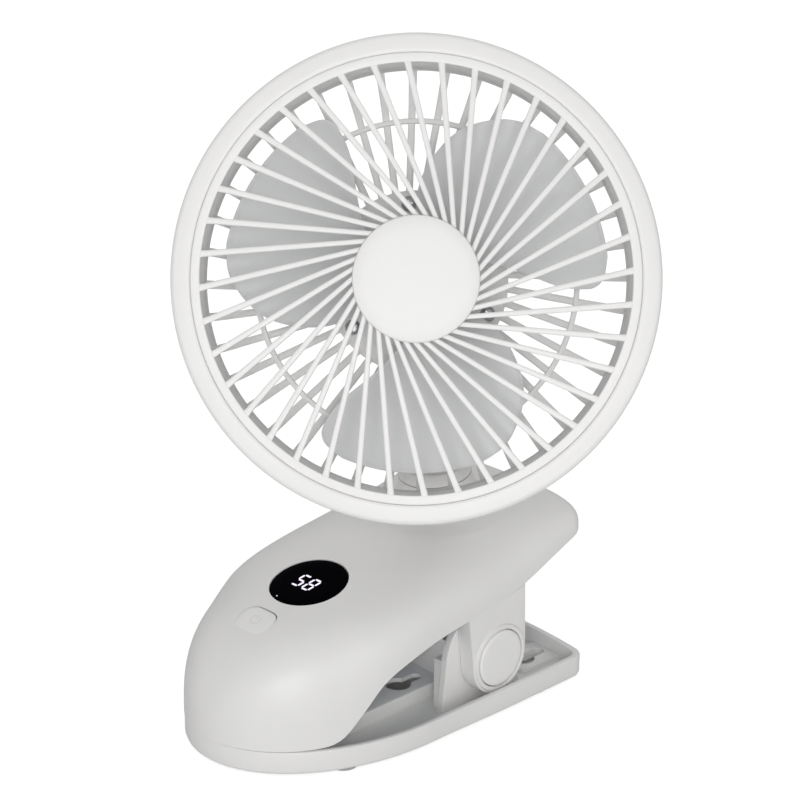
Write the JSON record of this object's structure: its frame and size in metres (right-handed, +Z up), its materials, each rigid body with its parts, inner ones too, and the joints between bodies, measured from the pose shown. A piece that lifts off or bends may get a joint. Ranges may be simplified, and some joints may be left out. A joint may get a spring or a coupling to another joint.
{
  "type": "clip fan",
  "caption": "Rechargeable clip fan: sprung clamp base with a display, swivelling and tilting neck, and a round caged fan head.",
  "frame": {"origin": "on the flat underside of the base tray, midway between its sides; the rubber feet reach 1 mm lower", "axes": "+Z up, -Y toward the nose of the clamp, +X to the right of the nose seen from the front"},
  "size_m": [0.1291, 0.1444, 0.2324],
  "materials": {
    "white_plastic": "satin",
    "white_gloss": "semi gloss",
    "blade_plastic": "satin translucent",
    "black_window": "gloss",
    "grey_rubber": "matte",
    "steel": "brushed",
    "board": "matte",
    "battery_wrap": "matte",
    "dark_plastic": "matte"
  },
  "bodies": {
    "base": {"base_tray": "white_plastic", "foot_front_right": "grey_rubber", "foot_front_left": "grey_rubber", "foot_rear_right": "grey_rubber", "foot_rear_left": "grey_rubber", "pivot_pin": "steel", "jaw_pad_lower": "grey_rubber", "clamp_spring": "steel"},
    "upper_jaw": {"upper_shell": "white_plastic", "underside_cover": "white_plastic", "leg_cap_right": "white_gloss", "leg_cap_left": "white_gloss", "jaw_pad_upper": "grey_rubber", "display_window": "black_window", "display_module": "dark_plastic", "circuit_board": "board", "button_switch": "dark_plastic", "battery_pack": "battery_wrap", "charge_port": "steel"},
    "button": {"power_button": "white_gloss"},
    "neck": {"neck_arm": "white_plastic", "swivel_retainer": "dark_plastic", "tilt_pin": "steel"},
    "head": {"head_housing": "white_plastic", "front_grille": "white_gloss", "hub_cap": "white_gloss", "rear_grille": "white_plastic", "rear_cover": "white_plastic", "motor_can": "steel", "motor_screw_1": "steel", "motor_screw_2": "steel", "motor_screw_3": "steel"},
    "rotor": {"impeller": "blade_plastic", "motor_shaft": "steel"}
  },
  "joints": [
    {"name": "clamp_open", "type": "hinge", "parent": "base", "child": "upper_jaw", "pos_m": [0, 0.0275, 0.0185], "axis": [-1, 0, 0], "range_deg": [0, 28], "stiffness_Nm_per_rad": 1.5, "springref_deg": -34.38, "deforming": ["clamp_spring"]},
    {"name": "button_press", "type": "slide", "parent": "upper_jaw", "child": "button", "axis": [0, 0.342, -0.9397], "range_m": [0, 0.001], "stiffness_N_per_m": 400, "springref_m": -0.002},
    {"name": "head_swivel", "type": "hinge", "parent": "upper_jaw", "child": "neck", "pos_m": [0, 0.03504, 0.07379], "axis": [0, -0.1392, 0.9903], "range_deg": [-177, 83]},
    {"name": "head_tilt", "type": "hinge", "parent": "neck", "child": "head", "pos_m": [0, 0.02989, 0.11043], "axis": [-0.682, -0.7242, -0.1018], "range_deg": [-20, 65]},
    {"name": "fan_spin", "type": "hinge", "parent": "head", "child": "rotor", "pos_m": [0.02177, 0.00286, 0.15686], "axis": [0.6628, -0.6709, 0.3325], "continuous": true}
  ]
}
